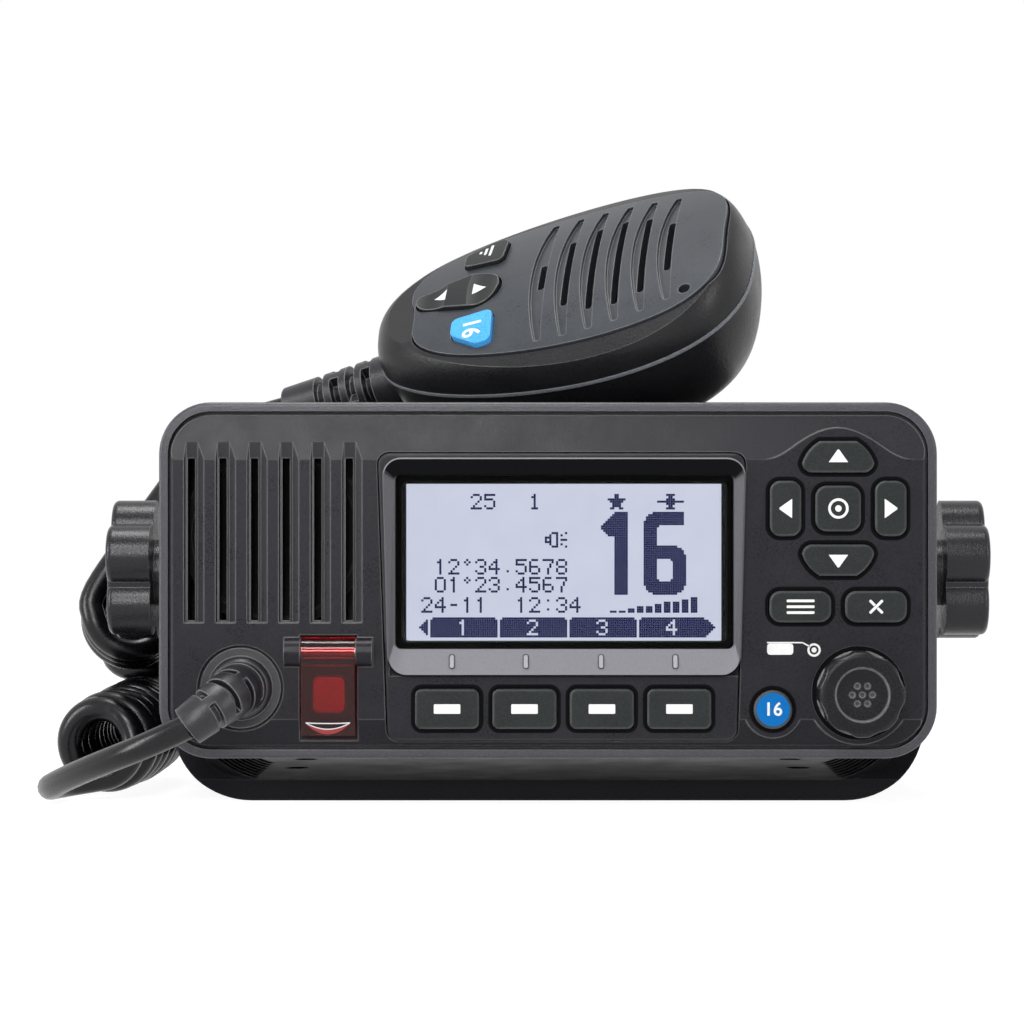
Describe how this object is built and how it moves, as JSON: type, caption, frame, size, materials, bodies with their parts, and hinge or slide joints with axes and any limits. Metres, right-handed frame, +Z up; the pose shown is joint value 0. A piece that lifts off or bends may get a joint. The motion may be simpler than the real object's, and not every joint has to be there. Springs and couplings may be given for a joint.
{
  "type": "vhf marine radio",
  "caption": "Fixed-mount marine radio on a U bracket that it tilts in, with keys, volume knob, hinged distress cover and a fist handset on a curly cord.",
  "frame": {"origin": "centre of the bracket's four-hole pattern, on the underside of its base", "axes": "+Z up, away from the surface it is fastened to; +X to the right and -Y out of the front panel, as seen by someone facing it"},
  "size_m": [0.2261, 0.1446, 0.1498],
  "materials": {
    "bracket_black": "moulded, fine satin grain",
    "knob_black": "moulded, coarse sparkle grain",
    "steel": "turned, bright",
    "housing_grey": "moulded, fine grain",
    "fascia_grey": "moulded, satin with fine grain",
    "surround_black": "moulded, satin black",
    "window": "clear acrylic with a printed black border",
    "display": "backlit dot-matrix panel",
    "bezel_silver": "silver lacquer",
    "key_black": "satin hard-coated rubber with printed marks",
    "key_blue_ring": "satin hard-coated rubber with a blue disc",
    "distress_red": "translucent red, polished",
    "button_red": "red, satin",
    "knob_grey": "moulded, satin",
    "boot_rubber": "moulded rubber, matt",
    "cord_black": "smooth extruded jacket, semi-gloss",
    "chassis_black": "die-cast aluminium, powder coated black",
    "board_green": "glass-epoxy board",
    "shield_tin": "tinned steel",
    "nickel": "nickel plated",
    "socket_black": "moulded nylon",
    "speaker_black": "pressed basket and paper cone",
    "shell_black": "moulded, coarse grain",
    "plate_slate": "moulded, fine grain",
    "seal_grey": "thin rubber seal",
    "handset_blue": "pale blue hard-coated rubber",
    "pad_rubber": "friction pad"
  },
  "bodies": {
    "bracket": {"bracket": "bracket_black"},
    "radio": {"friction_pads": "pad_rubber", "front_housing": "housing_grey", "fascia": "fascia_grey", "display_surround": "surround_black", "display_window": "window", "display_module": "display", "display_bezel": "bezel_silver", "volume_encoder": "socket_black", "loudspeaker": "speaker_black", "key_mat": "key_black", "panel_board": "board_green", "chassis": "chassis_black", "main_board": "board_green", "rf_shield": "shield_tin", "antenna_socket": "nickel", "power_inlet": "socket_black", "accessory_socket": "socket_black", "panel_boot": "boot_rubber", "cord_lead_front": "cord_black", "cord_coil": "cord_black", "cord_lead_handset": "cord_black"},
    "left_washer": {"clamp_washer_left": "steel"},
    "left_knob": {"clamp_knob_left": "knob_black", "clamp_stud_left": "steel"},
    "right_washer": {"clamp_washer_right": "steel"},
    "right_knob": {"clamp_knob_right": "knob_black", "clamp_stud_right": "steel"},
    "volume_push": {"volume_plunger": "steel"},
    "volume_dial": {"volume_knob": "knob_grey", "volume_shaft": "steel"},
    "cover": {"distress_cover": "distress_red", "distress_cover_pin": "steel"},
    "distress": {"distress_button": "button_red"},
    "handset": {"handset_front_shell": "shell_black", "handset_face_plate": "plate_slate", "handset_seal": "seal_grey", "handset_back_shell": "shell_black", "handset_board": "board_green", "handset_loudspeaker": "speaker_black", "handset_microphone": "nickel", "hanger_stud": "nickel", "handset_screws": "steel", "handset_boot": "boot_rubber"},
    "talk_bar": {"handset_talk_bar": "key_black"},
    "hand_power": {"handset_power_key": "key_black"},
    "hand_blue": {"handset_blue_key": "handset_blue"},
    "rocker": {"handset_rocker": "key_black"},
    "up_key": {"up_key": "key_black"},
    "down_key": {"down_key": "key_black"},
    "left_key": {"left_key": "key_black"},
    "right_key": {"right_key": "key_black"},
    "enter_key": {"enter_key": "key_black"},
    "lower_left_key": {"lower_left_key": "key_black"},
    "lower_right_key": {"lower_right_key": "key_black"},
    "blue_key": {"blue_key": "key_blue_ring"},
    "soft_key_1": {"soft_key_1": "key_black"},
    "soft_key_2": {"soft_key_2": "key_black"},
    "soft_key_3": {"soft_key_3": "key_black"},
    "soft_key_4": {"soft_key_4": "key_black"}
  },
  "joints": [
    {"name": "tilt", "type": "hinge", "parent": "bracket", "child": "radio", "pos_m": [0, -0.042, 0.0545], "axis": [1, 0, 0], "range_deg": [-6, 6]},
    {"name": "left_washer_slide", "type": "slide", "parent": "radio", "child": "left_washer", "axis": [-1, 0, 0], "range_m": [0, 0.0016]},
    {"name": "left_knob_turn", "type": "hinge", "parent": "left_washer", "child": "left_knob", "pos_m": [-0.0922, -0.042, 0.0545], "axis": [-1, 0, 0], "range_deg": [0, 720]},
    {"name": "right_washer_slide", "type": "slide", "parent": "radio", "child": "right_washer", "axis": [1, 0, 0], "range_m": [0, 0.0016]},
    {"name": "right_knob_turn", "type": "hinge", "parent": "right_washer", "child": "right_knob", "pos_m": [0.0922, -0.042, 0.0545], "axis": [1, 0, 0], "range_deg": [0, 720]},
    {"name": "up_key_press", "type": "slide", "parent": "radio", "child": "up_key", "axis": [0, 1, 0], "range_m": [0, 0.0008], "stiffness_N_per_m": 400},
    {"name": "down_key_press", "type": "slide", "parent": "radio", "child": "down_key", "axis": [0, 1, 0], "range_m": [0, 0.0008], "stiffness_N_per_m": 400},
    {"name": "left_key_press", "type": "slide", "parent": "radio", "child": "left_key", "axis": [0, 1, 0], "range_m": [0, 0.0008], "stiffness_N_per_m": 400},
    {"name": "right_key_press", "type": "slide", "parent": "radio", "child": "right_key", "axis": [0, 1, 0], "range_m": [0, 0.0008], "stiffness_N_per_m": 400},
    {"name": "enter_key_press", "type": "slide", "parent": "radio", "child": "enter_key", "axis": [0, 1, 0], "range_m": [0, 0.0008], "stiffness_N_per_m": 400},
    {"name": "lower_left_key_press", "type": "slide", "parent": "radio", "child": "lower_left_key", "axis": [0, 1, 0], "range_m": [0, 0.0008], "stiffness_N_per_m": 400},
    {"name": "lower_right_key_press", "type": "slide", "parent": "radio", "child": "lower_right_key", "axis": [0, 1, 0], "range_m": [0, 0.0008], "stiffness_N_per_m": 400},
    {"name": "blue_key_press", "type": "slide", "parent": "radio", "child": "blue_key", "axis": [0, 1, 0], "range_m": [0, 0.0008], "stiffness_N_per_m": 400},
    {"name": "soft_key_1_press", "type": "slide", "parent": "radio", "child": "soft_key_1", "axis": [0, 1, 0], "range_m": [0, 0.0008], "stiffness_N_per_m": 400},
    {"name": "soft_key_2_press", "type": "slide", "parent": "radio", "child": "soft_key_2", "axis": [0, 1, 0], "range_m": [0, 0.0008], "stiffness_N_per_m": 400},
    {"name": "soft_key_3_press", "type": "slide", "parent": "radio", "child": "soft_key_3", "axis": [0, 1, 0], "range_m": [0, 0.0008], "stiffness_N_per_m": 400},
    {"name": "soft_key_4_press", "type": "slide", "parent": "radio", "child": "soft_key_4", "axis": [0, 1, 0], "range_m": [0, 0.0008], "stiffness_N_per_m": 400},
    {"name": "volume_press", "type": "slide", "parent": "radio", "child": "volume_push", "axis": [0, 1, 0], "range_m": [0, 0.0006], "stiffness_N_per_m": 600},
    {"name": "volume_turn", "type": "hinge", "parent": "volume_push", "child": "volume_dial", "pos_m": [0.0716, -0.083, 0.0273], "axis": [0, -1, 0], "continuous": true},
    {"name": "cover_open", "type": "hinge", "parent": "radio", "child": "cover", "pos_m": [-0.0506, -0.0827, 0.0367], "axis": [-1, 0, 0], "range_deg": [0, 100], "stiffness_Nm_per_rad": 0.004},
    {"name": "distress_press", "type": "slide", "parent": "radio", "child": "distress", "axis": [0, 1, 0], "range_m": [0, 0.0008], "stiffness_N_per_m": 400},
    {"name": "handset_lift", "type": "slide", "parent": "radio", "child": "handset", "axis": [0, 0, 1], "range_m": [0, 0.06]},
    {"name": "talk_press", "type": "hinge", "parent": "handset", "child": "talk_bar", "pos_m": [0.01363, -0.00027, 0.13388], "axis": [0.3531, 0.5617, -0.7482], "range_deg": [0, 4], "stiffness_Nm_per_rad": 1},
    {"name": "hand_power_press", "type": "slide", "parent": "handset", "child": "hand_power", "axis": [0.3531, 0.5617, -0.7482], "range_m": [0, 0.0008], "stiffness_N_per_m": 400},
    {"name": "hand_blue_press", "type": "slide", "parent": "handset", "child": "hand_blue", "axis": [0.3531, 0.5617, -0.7482], "range_m": [0, 0.0008], "stiffness_N_per_m": 400},
    {"name": "rocker_rock", "type": "hinge", "parent": "handset", "child": "rocker", "pos_m": [-0.0207, -0.02694, 0.11971], "axis": [0.1028, 0.7716, 0.6278], "range_deg": [-3, 3], "stiffness_Nm_per_rad": 0.4}
  ],
  "couplings": [
    {"joint": "left_knob_turn", "follows": "left_washer_slide", "rad_per_m": 7854},
    {"joint": "right_knob_turn", "follows": "right_washer_slide", "rad_per_m": 7854}
  ]
}
